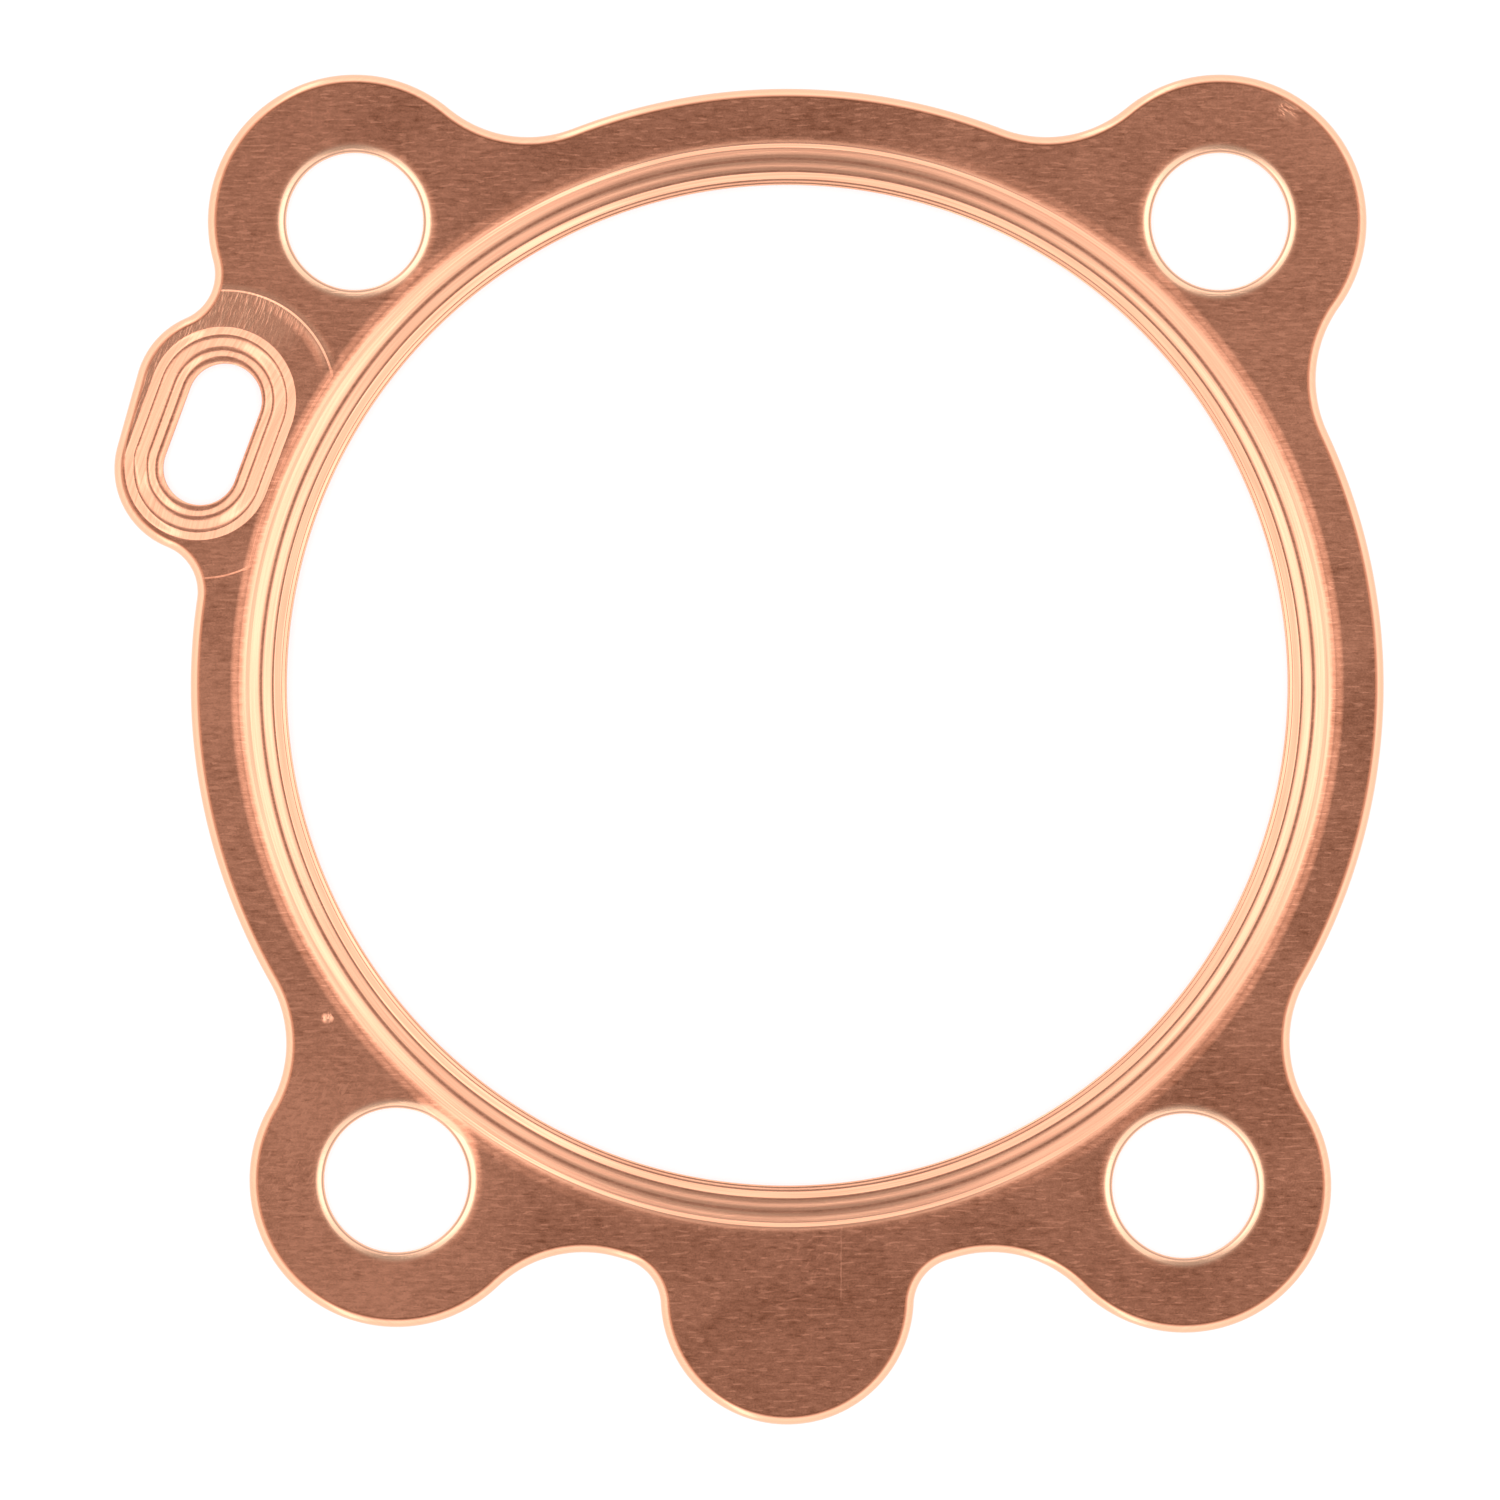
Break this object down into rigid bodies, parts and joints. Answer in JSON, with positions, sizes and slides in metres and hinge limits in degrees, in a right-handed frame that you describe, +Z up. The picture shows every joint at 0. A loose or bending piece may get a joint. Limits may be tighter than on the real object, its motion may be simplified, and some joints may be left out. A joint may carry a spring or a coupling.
{
  "type": "cylinder head gasket",
  "caption": "One-piece cylinder head gasket pressed from copper sheet, with an embossed bead round the cylinder bore and another round the oblong side passage.",
  "frame": {"origin": "the cylinder's axis at the level of the sheet's flat underside", "axes": "+Z up through the sheet, out of the face that the beads stand on; +Y towards the two smaller bolt holes; -X towards the oblong passage"},
  "size_m": [0.1053, 0.112, 0.0014],
  "materials": {
    "copper": "bare rolled copper sheet, dull and slightly browned on the flats, bright on the pressed beads and edges"
  },
  "bodies": {
    "root": {"embossed_copper_sheet": "copper"}
  },
  "joints": []
}
